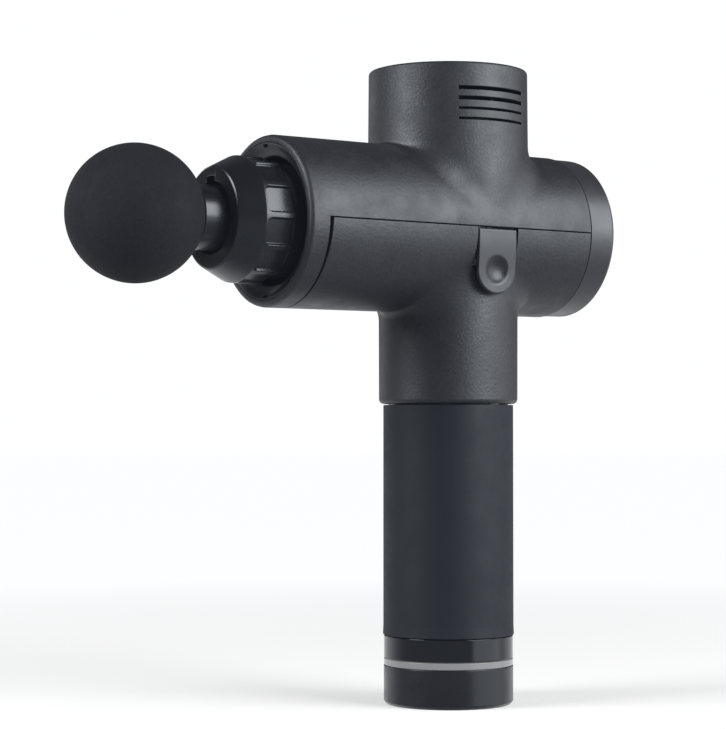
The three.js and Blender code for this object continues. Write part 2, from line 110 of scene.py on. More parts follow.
def rounded(corners, closed=False, steps=5):
    """A (radius, height) profile whose (radius, height, rounding) corners are turned into arcs."""
    count = len(corners)
    out = []
    for i, corner in enumerate(corners):
        point = np.array(corner[:2], float)
        size = corner[2] if len(corner) > 2 else 0
        if size <= 0 or (not closed and i in (0, count - 1)):
            out.append(point)
            continue
        before = np.array(corners[i - 1][:2], float) - point
        after = np.array(corners[(i + 1) % count][:2], float) - point
        reach = min(np.linalg.norm(before), np.linalg.norm(after)) * 0.49
        before /= np.linalg.norm(before)
        after /= np.linalg.norm(after)
        half = math.acos(max(-1, min(1, float(before @ after)))) / 2
        if half > math.pi / 2 - 0.01:
            out.append(point)
            continue
        back = min(size / math.tan(half), reach)
        radius = back * math.tan(half)
        middle = before + after
        centre = point + middle / np.linalg.norm(middle) * radius / math.sin(half)
        first = point + before * back - centre
        last = point + after * back - centre
        turn = math.pi - 2 * half
        for k in range(steps + 1):
            t = k / steps
            spot = (first * math.sin((1 - t) * turn) + last * math.sin(t * turn)) / math.sin(turn)
            out.append(centre + spot)
    return np.array(out)


AXES = {
    "up": (np.array([0.0, 0, 1]), np.array([1.0, 0, 0]), np.zeros(3)),
    "forward": (np.array([-1.0, 0, 0]), np.array([0.0, 0, 1]), np.array([0, 0, AXIS_Z])),
    "rear": (np.array([1.0, 0, 0]), np.array([0.0, 0, 1]), np.array([0, 0, AXIS_Z])),
}


def turned(profile, segments, direction, closed=False, reshape=None):
    """Points, faces and normals of a profile turned about one of the AXES."""
    axis, first, origin = AXES[direction]
    second = np.cross(axis, first)
    profile = np.asarray(profile, float)
    count = len(profile)
    steps = np.roll(profile, -1, axis=0) - profile
    outward = np.stack([steps[:, 1], -steps[:, 0]], axis=1)
    if not closed:
        outward[-1] = 0
    slope = outward + np.roll(outward, 1, axis=0)
    slope /= np.maximum(np.linalg.norm(slope, axis=1, keepdims=True), 1e-9)
    angles = np.arange(segments) * 2 * math.pi / segments
    radial = np.cos(angles)[:, None] * first + np.sin(angles)[:, None] * second
    verts, normals, rows = [], [], []
    for i, (radius, height) in enumerate(profile):
        if radius < 1e-6:
            rows.append([len(verts)] * segments)
            verts.append(origin + axis * height)
            normals.append(axis * math.copysign(1, slope[i][1]))
            continue
        rows.append(list(range(len(verts), len(verts) + segments)))
        radii = np.full(segments, radius)
        heights = np.full(segments, height)
        if reshape is not None:
            radii, heights = reshape(radii, heights, angles)
        verts.extend(origin + axis * heights[:, None] + radial * radii[:, None])
        normals.extend(radial * slope[i][0] + axis * slope[i][1])
    faces = []
    for i in range(count if closed else count - 1):
        low, high = rows[i], rows[(i + 1) % count]
        for j in range(segments):
            k = (j + 1) % segments
            corners = (low[j], low[k], high[k], high[j])
            faces.append(tuple(dict.fromkeys(corners)))
    return np.array(verts), faces, None if reshape is not None else np.array(normals)


def turned_piece(name, profile, segments, direction, body, look, nodes=(), closed=False, reshape=None):
    verts, faces, normals = turned(profile, segments, direction, closed, reshape)
    return make_piece(name, verts, faces, body, nodes, normals, look)


def ramp(value, low, high):
    """Smooth step from 0 at low to 1 at high."""
    t = np.clip((value - low) / (high - low), 0, 1)
    return t * t * (3 - 2 * t)


def gradient(field, points, delta=1e-3):
    out = np.empty_like(points)
    for axis in range(3):
        step = np.zeros(3)
        step[axis] = delta
        ahead, behind = points + step, points - step
        out[:, axis] = (field(*ahead.T) - field(*behind.T)) / (2 * delta)
    return out


def surface_net(field, low, high, step):
    """Quads on the zero level of field, which is negative inside, with the points moved exactly onto it."""
    lines = [np.arange(a, b + step, step) for a, b in zip(low, high)]
    values = field(*np.meshgrid(*lines, indexing="ij"))
    cells = tuple(n - 1 for n in values.shape)
    total = np.zeros(cells + (3,))
    hits = np.zeros(cells)
    quads = []
    number = np.arange(np.prod(cells)).reshape(cells)
    for d in range(3):
        e, g = (d + 1) % 3, (d + 2) % 3
        ahead = [slice(None)] * 3
        behind = [slice(None)] * 3
        ahead[d], behind[d] = slice(1, None), slice(None, -1)
        a, b = values[tuple(behind)], values[tuple(ahead)]
        crossing = (a < 0) != (b < 0)
        share = np.where(crossing, a / np.where(crossing, a - b, 1), 0)
        place = np.stack(np.indices(a.shape), axis=-1).astype(float)
        place[..., d] += share
        place *= crossing[..., None]
        for off_e in (0, 1):
            for off_g in (0, 1):
                part = [slice(None)] * 3
                part[e] = slice(off_e, off_e + cells[e])
                part[g] = slice(off_g, off_g + cells[g])
                total += place[tuple(part)]
                hits += crossing[tuple(part)]
        inner = [slice(None)] * 3
        inner[e], inner[g] = slice(1, -1), slice(1, -1)
        spots = np.argwhere(crossing[tuple(inner)])
        spots[:, e] += 1
        spots[:, g] += 1
        outward = a[tuple(spots.T)] < 0
        ring = []
        for off_e, off_g in ((1, 1), (0, 1), (0, 0), (1, 0)):
            cell = spots.copy()
            cell[:, e] -= off_e
            cell[:, g] -= off_g
            ring.append(number[tuple(cell.T)])
        ring = np.stack(ring, axis=1)
        ring[~outward] = ring[~outward][:, ::-1]
        quads.append(ring)
    quads = np.concatenate(quads)
    used, faces = np.unique(quads, return_inverse=True)
    faces = faces.reshape(-1, 4)
    points = total.reshape(-1, 3)[used] / hits.reshape(-1)[used][:, None]
    points = points * step + np.array([line[0] for line in lines])
    for _ in range(4):
        slope = gradient(field, points)
        square = np.maximum((slope ** 2).sum(axis=1), 1e-6)
        shift = field(*points.T) / square
        points -= slope * np.clip(shift, -0.5 * step, 0.5 * step)[:, None]
    return points, faces


# ---------------------------------------------------------------- casing skins
def blended(a, b, cosine, radius):
    """Union of two distance fields with a concave fillet, where cosine is that of their normals' angle."""
    u, v = radius - a, radius - b
    inside = (u > 0) & (v > 0) & (v > cosine * u) & (u > cosine * v)
    spread = np.maximum(1 - cosine ** 2, 1e-6)
    arc = radius - np.sqrt(np.maximum(u * u - 2 * cosine * u * v + v * v, 0) / spread)
    return np.where(inside, arc, np.minimum(a, b))


def casing_field(x, y, z, pillar_radius, fillets):
    """Barrel along X blended with a pillar along Z.

    fillets holds the fillet's radius in front and behind, and at the sides it grows to SIDE_FILLET.
    """
    dz = z - AXIS_Z
    from_axis = np.maximum(np.hypot(y, dz), 1e-6)
    from_pillar = np.maximum(np.hypot(x, y), 1e-6)
    side = ramp(np.abs(y) / from_pillar, 0.3, 1.0)
    cosine = np.clip(y * y / (from_axis * from_pillar), 0, 0.9995)
    front, rear = fillets
    least = front + (rear - front) * ramp(x, -30, 30)
    radius = least + (SIDE_FILLET - least) * side
    return blended(from_axis - BARREL_R, from_pillar - pillar_radius, cosine, radius)


def tower_field(x, y, z):
    return casing_field(x, y, z, TOWER_R - TOWER_TAPER * (z - AXIS_Z), TOWER_FILLET)


def neck_field(x, y, z):
    return casing_field(x, y, z, NECK_R + NECK_TAPER * (z - AXIS_Z + NECK_DROP), NECK_FILLET)


class Cut:
    """A plane edge of a skin: outward is where the material ends, reach is how far along outward."""

    def __init__(self, outward, reach, rounding):
        self.outward = np.array(outward, float)
        self.outward /= np.linalg.norm(self.outward)
        self.reach = reach
        self.rounding = rounding
        self.plane = reach - rounding


def bisect(bm, cut, clear=False, near=None):
    geometry = bm.verts[:] + bm.edges[:] + bm.faces[:]
    if near is not None:
        faces = [f for f in bm.faces if near(f.calc_center_median())]
        edges = {e for f in faces for e in f.edges}
        verts = {v for f in faces for v in f.verts}
        geometry = list(verts) + list(edges) + faces
    bmesh.ops.bisect_plane(
        bm,
        geom=geometry,
        dist=1e-4,
        plane_co=(cut.outward * cut.plane).tolist(),
        plane_no=cut.outward.tolist(),
        clear_outer=clear,
    )


def trimmed_skin(field, low, high, step, ends, holes):
    """Points and faces of a field's skin trimmed by cuts, and its open edges as (start, end) pairs."""
    points, quads = surface_net(field, low, high, step)
    bm = bmesh.new()
    made = [bm.verts.new(p) for p in points.tolist()]
    for quad in quads.tolist():
        bm.faces.new([made[i] for i in quad])
    for cut in ends:
        bisect(bm, cut, clear=True)
    for cuts, near in holes:
        for cut in cuts:
            bisect(bm, cut, near=near)
        gone = []
        for face in bm.faces:
            centre = face.calc_center_median()
            if not near(centre):
                continue
            spot = np.array(centre)
            if all(spot @ cut.outward > cut.plane for cut in cuts):
                gone.append(face)
        bmesh.ops.delete(bm, geom=gone, context="FACES")
    loose = [v for v in bm.verts if not v.link_faces]
    bmesh.ops.delete(bm, geom=loose, context="VERTS")
    bm.verts.index_update()
    verts = np.array([v.co for v in bm.verts])
    faces = [tuple(v.index for v in f.verts) for f in bm.faces]
    rims = []
    for edge in bm.edges:
        if len(edge.link_faces) == 1:
            loop = edge.link_loops[0]
            rims.append((loop.vert.index, loop.link_loop_next.vert.index))
    bm.free()
    return verts, faces, rims


def on_plane(verts, edge, cut):
    return max(abs(verts[i] @ cut.outward - cut.plane) for i in edge) < 2e-3


def cuts_at_rims(verts, rims, cuts):
    """For each point of the open edges, in the order of their numbers, the cuts that made them."""
    found = {}
    for edge in rims:
        cut = next((c for c in cuts if on_plane(verts, edge, c)), None)
        for i in edge:
            at_point = found.setdefault(i, {})
            if cut is not None:
                at_point[id(cut)] = cut
    return {i: list(found[i].values()) for i in sorted(found)}


RIM_ANGLES = (0.5, 1.0, math.pi / 2)  # steps round a rim's rounding, from the skin to the cut's face


def rim_rings(base, facing, made_by):
    """Rings of points, with normals, from the outer skin's rim round its edge and down to the inner skin."""
    drift = np.zeros(base.shape)
    size = np.zeros(len(base))
    for k, cuts in enumerate(made_by):
        for cut in cuts:
            drift[k] += cut.outward * cut.rounding
        size[k] = np.mean([cut.rounding for cut in cuts]) if cuts else 0.1
    away = drift / np.maximum(np.linalg.norm(drift, axis=1, keepdims=True), 1e-6)
    rings, normals = [], []
    for angle in RIM_ANGLES:
        rings.append(base + drift * math.sin(angle) - facing * (size * (1 - math.cos(angle)))[:, None])
        normals.append(away * math.sin(angle) + facing * math.cos(angle))
    rings.append(base + drift - facing * (WALL - 0.15))
    normals.append(away)
    rings.append(base + drift * 0.8 - facing * WALL)
    normals.append(-facing)
    return rings, normals


def skin_shell(field, low, high, step, ends, holes, cap=None):
    """A closed shell: the field's skin trimmed by cuts, an inner skin, and rounded edges between them.

    ends trims the whole skin. holes is a list of (cuts, test): the skin is removed where it is beyond every
    cut of one hole. cap is the cut of a pillar's end that is closed with a flat top.
    """
    verts, faces, rims = trimmed_skin(field, low, high, step, ends, holes)
    normals = gradient(field, verts)
    normals /= np.linalg.norm(normals, axis=1, keepdims=True)
    made_by = cuts_at_rims(verts, rims, list(ends) + [cut for cuts, near in holes for cut in cuts])
    order = list(made_by)
    rings, ring_normals = rim_rings(verts[order], normals[order], made_by.values())

    count, edge_count = len(verts), len(order)
    total = 2 * count + len(rings) * edge_count
    place = {v: k for k, v in enumerate(order)}
    faces = faces + [tuple(i + count for i in reversed(f)) for f in faces]

    def strip(a, b, length):
        """Adds faces from an open edge across the first rings, and gives its points on the last of them."""
        low_a, low_b = a, b
        for k in range(length):
            first = 2 * count + k * edge_count
            high_a, high_b = first + place[a], first + place[b]
            faces.append((low_b, low_a, high_a, high_b))
            low_a, low_b = high_a, high_b
        return low_a, low_b

    for a, b in rims:
        if cap is not None and on_plane(verts, (a, b), cap):
            last_a, last_b = strip(a, b, len(RIM_ANGLES))
            faces.append((last_b, last_a, total))
            faces.append((a + count, b + count, total + 1))
        else:
            last_a, last_b = strip(a, b, len(rings))
            faces.append((last_b, last_a, a + count, b + count))
    all_verts = [verts, verts - normals * WALL] + rings
    all_normals = [normals, -normals] + ring_normals
    if cap is not None:
        all_verts += [(cap.outward * cap.reach)[None], (cap.outward * cap.plane)[None]]
        all_normals += [cap.outward[None], -cap.outward[None]]
    used = np.unique([i for f in faces for i in f])
    renumber = np.full(total + 2, -1)
    renumber[used] = np.arange(len(used))
    faces = [tuple(int(renumber[i]) for i in f) for f in faces]
    return np.concatenate(all_verts)[used], faces, np.concatenate(all_normals)[used]


STEP = 0.85
SEAM_Z = AXIS_Z - 0.15  # the parting line, at the upper casing's edge
SEAM_GAP = 0.32
SEAM_ROUND = 0.22
VENT_COUNT = 4
VENT_TOP = 230.1  # height of the top vent's middle
VENT_PITCH = 3.8
VENT_LENGTH = 29.6
WIDE_VENT = 0.66  # half the opening of the two upper vents
NARROW_VENT = 0.42  # and of the two lower ones
TAB_HALF = float(TAB_HIGH[0])
TAB_ROUND_Z = float(TAB_LOW[2]) + TAB_HALF  # centre of the tab's round end
TAB_BACK = 28.15  # distance of the tab's inner face from the symmetry plane
TAB_EDGE_ROUND = 0.15  # rounding of the window that the tab fills
FINGER_Z, FINGER_DEPTH = 173, 25.2  # middle of the finger on the tab's inner face
FINGER_HALF = (3, 3.2, 1)  # half its width, depth and height


def vent_hole(side, middle, half):
    """A slot in the tower's wall: the skin goes where it is beyond all four edges."""
    cuts = []
    for outward, reach in (
        ((0, 0, 1), middle - half),
        ((0, 0, -1), -middle - half),
        ((1, 0, 0), -VENT_LENGTH / 2),
        ((-1, 0, 0), -VENT_LENGTH / 2),
    ):
        cuts.append(Cut(outward, reach, SEAM_ROUND))
    return cuts, lambda c: c.y * side > 15 and abs(c.z - middle) < 1.6


def upper_skin():
    low = (BARREL_FRONT - 2, -BARREL_R - 2, AXIS_Z - BARREL_R - 2)
    high = (BARREL_BACK + 2, BARREL_R + 2, TOP_Z + 2)
    crown = Cut((0, 0, 1), TOP_Z, 1.3)
    ends = [Cut((-1, 0, 0), -BARREL_FRONT, 1.9), Cut((1, 0, 0), BARREL_BACK, 0.3), crown]
    behind_ring = [Cut((1, 0, 0), RING_BACK, SEAM_ROUND), Cut((0, 0, -1), -SEAM_Z, SEAM_ROUND)]
    holes = [(behind_ring, lambda c: c.z < AXIS_Z + 3)]
    for side in (-1, 1):
        for i in range(VENT_COUNT):
            half = WIDE_VENT if i < VENT_COUNT / 2 else NARROW_VENT
            holes.append(vent_hole(side, VENT_TOP - VENT_PITCH * i, half))
    return skin_shell(tower_field, low, high, STEP, ends, holes, crown)


def tab_window(side):
    """The opening behind a release tab: its sides follow the tab, and it ends where the tab stands clear."""
    room = 0.35
    half = TAB_HALF + room
    bottom = TAB_ROUND_Z - 0.6
    chamfer = 1.8
    cuts = [
        Cut((1, 0, 0), -half, TAB_EDGE_ROUND),
        Cut((-1, 0, 0), -half, TAB_EDGE_ROUND),
        Cut((0, 0, 1), bottom, TAB_EDGE_ROUND),
    ]
    for way in (-1, 1):
        cuts.append(Cut((way, 0, 1), (bottom + chamfer - half) / math.sqrt(2), TAB_EDGE_ROUND))
    return cuts, lambda c: c.y * side > 15 and abs(c.x) < half + 3 and c.z > TAB_ROUND_Z - 9


def lower_skin():
    top = SEAM_Z - SEAM_GAP
    low = (RING_BACK - 2, -BARREL_R - 2, NECK_BOTTOM - 2)
    high = (BARREL_BACK + 2, BARREL_R + 2, AXIS_Z + 2)
    tilt = 0.032  # the front seam is widest at the parting line and closes towards the bottom
    front = np.array([-1.0, 0, tilt]) / math.hypot(1, tilt)
    ends = [
        Cut((0, 0, 1), top, SEAM_ROUND),
        Cut(front, float(front @ np.array([RING_BACK + 1.4, 0, top])), SEAM_ROUND),
        Cut((1, 0, 0), BARREL_BACK - 0.1, 0.3),
        Cut((0, 0, -1), -NECK_BOTTOM, 1.7),
    ]
    return skin_shell(neck_field, low, high, STEP, ends, [tab_window(-1), tab_window(1)])


def tab_field(x, y, z):
    """A U-shaped plate that follows the barrel at its top, with a round finger dimple and an inner finger."""
    across = np.abs(x)
    drop = np.maximum(TAB_ROUND_Z - z, 0)
    outline = np.where(drop > 0, np.hypot(x, drop), across) - TAB_HALF
    outline = np.maximum(outline, z - float(TAB_HIGH[2]))
    face = -TAB_LOW[1] - 0.9 * ramp(z, 175, 158)
    depth = -y
    edge = 0.75  # rounding of the plate's edges
    q0 = outline + edge
    thinned = 0.7 * ramp(across, 6, 8) * ramp(z, 170, 167)  # where the tab swings into the casing
    back = TAB_BACK + thinned
    q1 = np.abs(depth - (face + back) / 2) - (face - back) / 2 + edge
    plate = np.minimum(np.maximum(q0, q1), 0) + np.hypot(np.maximum(q0, 0), np.maximum(q1, 0)) - edge
    ball = 8.6  # radius of the sphere that hollows the dimple
    dimple_depth = 1.7
    centre = face + ball - dimple_depth
    dimple = np.sqrt(x ** 2 + (z - TAB_ROUND_Z) ** 2 + (depth - centre) ** 2) - ball
    k = 0.5  # soft rim of the dimple
    h = np.clip(0.5 - 0.5 * (plate + dimple) / k, 0, 1)
    carved = plate * (1 - h) - dimple * h + k * h * (1 - h)
    pin_y = -float(PIN_LOW[1] + PIN_HIGH[1]) / 2
    pin_z = float(PIN_LOW[2] + PIN_HIGH[2]) / 2
    pin = 0.95 - np.hypot(depth - pin_y, z - pin_z)
    wide, deep, tall = FINGER_HALF
    finger = np.maximum(across - wide, np.abs(z - FINGER_Z) - tall)
    finger = np.maximum(finger, np.abs(depth - FINGER_DEPTH) - deep)
    return np.minimum(np.maximum(carved, pin), finger)


def tab_skin(side):
    step = 0.3
    low, high = TAB_LOW - 1, TAB_HIGH + 1
    points, quads = surface_net(tab_field, low, high, step)
    normals = gradient(tab_field, points, 0.02)
    normals /= np.linalg.norm(normals, axis=1, keepdims=True)
    faces = [tuple(q) for q in quads.tolist()]
    if side > 0:
        points[:, 1] *= -1
        normals[:, 1] *= -1
        faces = [tuple(reversed(f)) for f in faces]
    return points, faces, normals


# ---------------------------------------------------------------- materials
def remapped(tree, value, start, end, low, high, curve="LINEAR"):
    """A value brought from the range start to end into the range low to high, and held beyond it."""
    node = tree.nodes.new("ShaderNodeMapRange")
    node.interpolation_type = curve
    for label, number in zip(("From Min", "From Max", "To Min", "To Max"), (start, end, low, high)):
        node.inputs[label].default_value = number
    tree.links.new(value, node.inputs["Value"])
    return node.outputs["Result"]


NOISE_LOW, NOISE_HIGH = 0.3, 0.7  # the range that most of a noise texture's values are in
MOTTLE = 0.05  # share of the colour's variation that comes in clouds, the rest comes grain by grain


def finish(name, colour, roughness, grain, depth, tint, metallic=0.0, specular=0.5, vary=0.08, glow=0.0):
    """Procedural finish: moulded or cast grain as bump, mottled colour, and roughness that varies.

    grain and depth are the grain's size and height in metres; tint and vary are the shares of variation.
    """
    material = bpy.data.materials.new(name)
    material.use_nodes = True
    tree = material.node_tree
    nodes, links = tree.nodes, tree.links
    shader = nodes["Principled BSDF"]
    shader.inputs["Metallic"].default_value = metallic
    shader.inputs["Specular IOR Level"].default_value = specular
    if metallic == 0:
        shader.inputs["Specular Tint"].default_value = (0.88, 0.94, 1, 1)
    shader.inputs["Emission Color"].default_value = (0.95, 0.97, 1, 1)
    shader.inputs["Emission Strength"].default_value = glow
    place = nodes.new("ShaderNodeTexCoord").outputs["Object"]

    def noise(scale, detail, rough=0.55):
        node = nodes.new("ShaderNodeTexNoise")
        node.inputs["Scale"].default_value = scale
        node.inputs["Detail"].default_value = detail
        node.inputs["Roughness"].default_value = rough
        links.new(place, node.inputs["Vector"])
        return node.outputs["Fac"]

    def spread(value, low, high):
        return remapped(tree, value, NOISE_LOW, NOISE_HIGH, low, high)

    grit = noise(0.55 / grain, 2.0)
    clouds = noise(35.0, 4.0)
    mix = nodes.new("ShaderNodeMix")
    mix.data_type = "RGBA"
    mix.inputs["A"].default_value = [c * (1 - tint) for c in colour] + [1]
    mix.inputs["B"].default_value = [min(1, c * (1 + tint)) for c in colour] + [1]
    both = nodes.new("ShaderNodeMath")
    both.operation = "ADD"
    links.new(spread(grit, 0, 1 - MOTTLE), both.inputs[0])
    links.new(spread(clouds, 0, MOTTLE), both.inputs[1])
    links.new(both.outputs["Value"], mix.inputs["Factor"])
    links.new(mix.outputs["Result"], shader.inputs["Base Color"])
    smear = noise(90.0, 5.0, 0.65)
    links.new(spread(smear, roughness - vary, roughness + vary), shader.inputs["Roughness"])
    bump = nodes.new("ShaderNodeBump")
    bump.inputs["Strength"].default_value = 1.0
    bump.inputs["Distance"].default_value = depth
    links.new(grit, bump.inputs["Height"])
    links.new(bump.outputs["Normal"], shader.inputs["Normal"])
    return material


LOOK = {  # material name, colour, roughness, grain, depth of the grain, tint
    "casing": finish("casing_grain", (0.0100, 0.0105, 0.0135), 0.50, 0.00062, 0.0001, 0.3, specular=0.6),
    "satin": finish("satin_moulding", (0.0110, 0.0116, 0.0145), 0.36, 0.0003, 0.00001, 0.08),
    "rear": finish("rear_cap_satin", (0.022, 0.0225, 0.0265), 0.36, 0.00025, 0.000012, 0.08, specular=0.6),
    "base": finish("base_moulding", (0.0075, 0.0081, 0.0105), 0.30, 0.0003, 0.000008, 0.08),
    "gloss": finish("gloss_moulding", (0.0045, 0.0050, 0.0070), 0.12, 0.002, 0.000004, 0.05, vary=0.03),
    "collar": finish("collar_moulding", (0.0075, 0.0082, 0.0105), 0.28, 0.0012, 0.000004, 0.05, vary=0.03),
    "sleeve": finish("silicone_sleeve", (0.0050, 0.0070, 0.0110), 0.62, 0.00025, 0.00003, 0.1, specular=0.36),
    "foam": finish("closed_cell_foam", (0.0070, 0.0073, 0.0095), 0.85, 0.0005, 0.0001, 0.25, specular=0.25),
    "light": finish("light_guide", (0.135, 0.138, 0.144), 0.2, 0.001, 0.00001, 0.03, glow=0.08),
    "rubber": finish("black_rubber", (0.015, 0.015, 0.016), 0.7, 0.0006, 0.00004, 0.1),
    "aluminium": finish("cast_aluminium", (0.60, 0.61, 0.63), 0.38, 0.0006, 0.00003, 0.06, metallic=1.0),
    # near-black steel for the rotor bell: painted shade, so the vent slots read dark
    "vent_shade_dark": finish("vent_shade_dark_steel", (0.03, 0.03, 0.033), 0.45, 0.0004, 0.00001, 0.1, metallic=0.6),
    "steel": finish("ground_steel", (0.50, 0.51, 0.53), 0.26, 0.0004, 0.000012, 0.06, metallic=1.0),
    "bronze": finish("sintered_bronze", (0.52, 0.36, 0.17), 0.42, 0.0004, 0.00003, 0.12, metallic=1.0),
    "copper": finish("enamelled_copper", (0.56, 0.24, 0.10), 0.30, 0.0005, 0.0001, 0.15, metallic=1.0),
    "circuit": finish("circuit_board", (0.02, 0.11, 0.05), 0.4, 0.001, 0.00003, 0.15),
    "cell": finish("cell_wrap", (0.05, 0.17, 0.33), 0.3, 0.002, 0.00001, 0.06),
    "white": finish("white_nylon", (0.66, 0.66, 0.63), 0.5, 0.0006, 0.00002, 0.04),
}
SLOT_LOOKS = {
    "casing": "casing",
    "satin_black": "satin",
    "gloss_black": "gloss",
    "silicone": "sleeve",
    "foam": "foam",
    "light_guide": "light",
    "black_rubber": "rubber",
    "cast_aluminium": "aluminium",
    "steel": "steel",
    "bronze": "bronze",
    "copper": "copper",
    "circuit_board": "circuit",
    "cell_wrap": "cell",
    "white_plastic": "white",
}
for part in frame["record"]["subparts"]:
    # the rotor bell gets near-black steel in place of its steel slot: painted shade seen through the vent
    # slots
    look = "vent_shade_dark" if part["node"] == "rotor_bell" else SLOT_LOOKS[part["material_slot"]]
    for place in frame["nodes"][part["node"]].material_slots:
        place.material = LOOK[look]


# ---------------------------------------------------------------- casing pieces
def skinned(name, made, body, nodes, look):
    """A piece from the points, faces and normals that one of the skin functions made."""
    verts, faces, normals = made
    return make_piece(name, verts, faces, body, nodes, normals, look)


skinned("upper_casing_skin", upper_skin(), "housing", ("upper_casing",), LOOK["casing"])
skinned("lower_casing_skin", lower_skin(), "housing", ("lower_casing",), LOOK["casing"])
for word, side in (("left", -1), ("right", 1)):
    skinned(
        word + "_tab_skin", tab_skin(side), word + "_tab", (word + "_release_tab",), LOOK["satin"]
    )


# ---------------------------------------------------------------- mouth
def carved(piece, boxes):
    """Cuts boxes, given by their lowest and highest corners in millimetres, out of a piece."""
    for low, high in boxes:
        bm = bmesh.new()
        bmesh.ops.create_cube(bm, size=1)
        centre, size = (low + high) / 2 * MM, (high - low) * MM
        for vert in bm.verts:
            vert.co = [c + s * v for c, s, v in zip(centre, size, vert.co)]
        mesh = bpy.data.meshes.new("cutter")
        bm.to_mesh(mesh)
        bm.free()
        cutter = bpy.data.objects.new("cutter", mesh)
        bpy.context.scene.collection.objects.link(cutter)
        cut = piece.modifiers.new("cut", "BOOLEAN")
        cut.operation, cut.solver, cut.object = "DIFFERENCE", "EXACT", cutter
        bpy.context.view_layer.update()
        evaluated = piece.evaluated_get(bpy.context.evaluated_depsgraph_get())
        carved_mesh = bpy.data.meshes.new_from_object(evaluated)
        piece.modifiers.remove(cut)
        piece.data = carved_mesh
        bpy.data.objects.remove(cutter)


MOUTH = -float(BEZEL_LOW[0])
SNAP_SLOT = np.array([2.6, 3.2, 1.1])
bezel = turned_piece(
    "mouth_bezel",
    rounded(
        [(23.3, 73), (28.6, 73), (28.6, MOUTH, 0.15), (28.0, MOUTH, 0.6), (25.8, MOUTH - 1.9, 6),
         (23.8, MOUTH - 2.7, 0.3), (23.3, MOUTH - 3.3, 0.3)],
        closed=True,
    ),
    192, "forward", "housing", LOOK["satin"], ("front_bezel",), closed=True,
)
slot_boxes = []
for level in (AXIS_Z - 27.8, AXIS_Z + 26.7):
    low = np.array([-MOUTH - 1, -SNAP_SLOT[1] / 2, level])
    slot_boxes.append((low, low + SNAP_SLOT))
carved(bezel, slot_boxes)

# ---------------------------------------------------------------- rear end
cap_back = float(CAP_HIGH[0])
seat = cap_back - 1.9
panel = cap_back - 0.2
turned_piece(
    "rear_cap_shell",
    rounded(
        [(25.6, 39), (28, 39), (28, 45.45), (30.85, 45.45, 0.35), (30.75, cap_back, 1.7),
         (23.2, cap_back, 0.3), (23.2, seat), (19.5, seat), (19.5, seat - 2.2), (25.6, seat - 2.2)],
        closed=True, steps=8,
    ),
    192, "rear", "housing", LOOK["rear"], ("rear_cap",), closed=True,
)
turned_piece(
    "display_face",
    rounded(
        [(6.6, panel - 1.4), (22.8, panel - 1.4), (22.8, panel, 0.25), (9.2, panel, 0.15),
         (8.6, panel - 0.4, 0.15), (6.6, panel - 0.4, 0.15)],
        closed=True,
    ),
    160, "rear", "housing", LOOK["gloss"], ("display_panel",), closed=True,
)
turned_piece(
    "power_key",
    rounded(
        [(0, 50.4), (3, 50.4), (3, seat - 1.8), (8.4, seat - 1.8), (8.4, seat), (6.2, seat),
         (6.2, cap_back + 0.2, 0.4), (4.8, cap_back + 0.15, 0.5), (0, cap_back - 0.3)],
        steps=6,
    ),
    96, "rear", "power_key", LOOK["satin"], ("power_button",),
)

# ---------------------------------------------------------------- lock collar
FLUTES = 12
COLLAR_FACE = -float(COLLAR_LOW[0])
SHOULDER = COLLAR_FACE - 9.3  # where the cone meets the flutes
COLLAR_R = 22.85
FLUTE_FRONT = SHOULDER - 0.45
FLUTE_REAR = SHOULDER - 12.1
FLUTE_INNER = 19  # only points of the profile outside this radius are fluted
RIB_HALF = 0.9
RIB_SLOPE = 0.55  # width of the step between a rib and a panel
PANEL_CORNER = 2.2  # radius of the panels' corners at the shoulder
PANEL_DEPTH = 0.75
PANEL_FLATNESS = 0.8  # a panel of 0 follows the collar's curve, and one of 1 is flat
NOTCH_DEPTH = 1.8
NOTCH_HALF = 0.2  # half the notch's width, in radians
COLLAR_SEGMENTS = 864


def ribbed(radii, heights, angles):
    """Recessed panels with rounded corners between narrow ribs, and a key notch at the top of the bore."""
    pitch = 2 * math.pi / FLUTES
    off = np.abs((angles + pitch / 2) % pitch - pitch / 2)  # angle from the nearest rib's middle
    radius, height = radii[0], heights[0]
    if radius > FLUTE_INNER and FLUTE_REAR - 0.3 < height < SHOULDER + 0.6:
        along = min(max(height - (FLUTE_FRONT - PANEL_CORNER), 0), PANEL_CORNER)
        half = RIB_HALF + PANEL_CORNER - math.sqrt(max(PANEL_CORNER ** 2 - along ** 2, 0))
        sides = ramp(off * COLLAR_R, half, half + RIB_SLOPE)
        ends = ramp(-height, -FLUTE_FRONT, -FLUTE_FRONT + 0.45)
        dip = COLLAR_R * (np.cos(pitch / 2 - off) - math.cos(pitch / 2))  # of a chord, deepest in its middle
        radii = radii - (PANEL_DEPTH + PANEL_FLATNESS * dip) * sides * ends
    if 12 < radius < 15 and height > SHOULDER + 2:
        from_top = np.abs((angles + math.pi) % (2 * math.pi) - math.pi)
        radii = radii + NOTCH_DEPTH * ramp(-from_top, -NOTCH_HALF, -NOTCH_HALF + 0.025)
    return radii, heights


def dense(profile, low, high, count):
    """The profile with extra points where its outer side runs along the axis between two heights."""
    out = []
    for a, b in zip(profile[:-1], profile[1:]):
        out.append(a)
        if abs(b[1] - a[1]) > 1 and max(a[1], b[1]) > low and min(a[1], b[1]) < high and a[0] > FLUTE_INNER:
            for t in np.linspace(0, 1, count + 2)[1:-1]:
                out.append(a + (b - a) * t)
    out.append(profile[-1])
    return np.array(out)


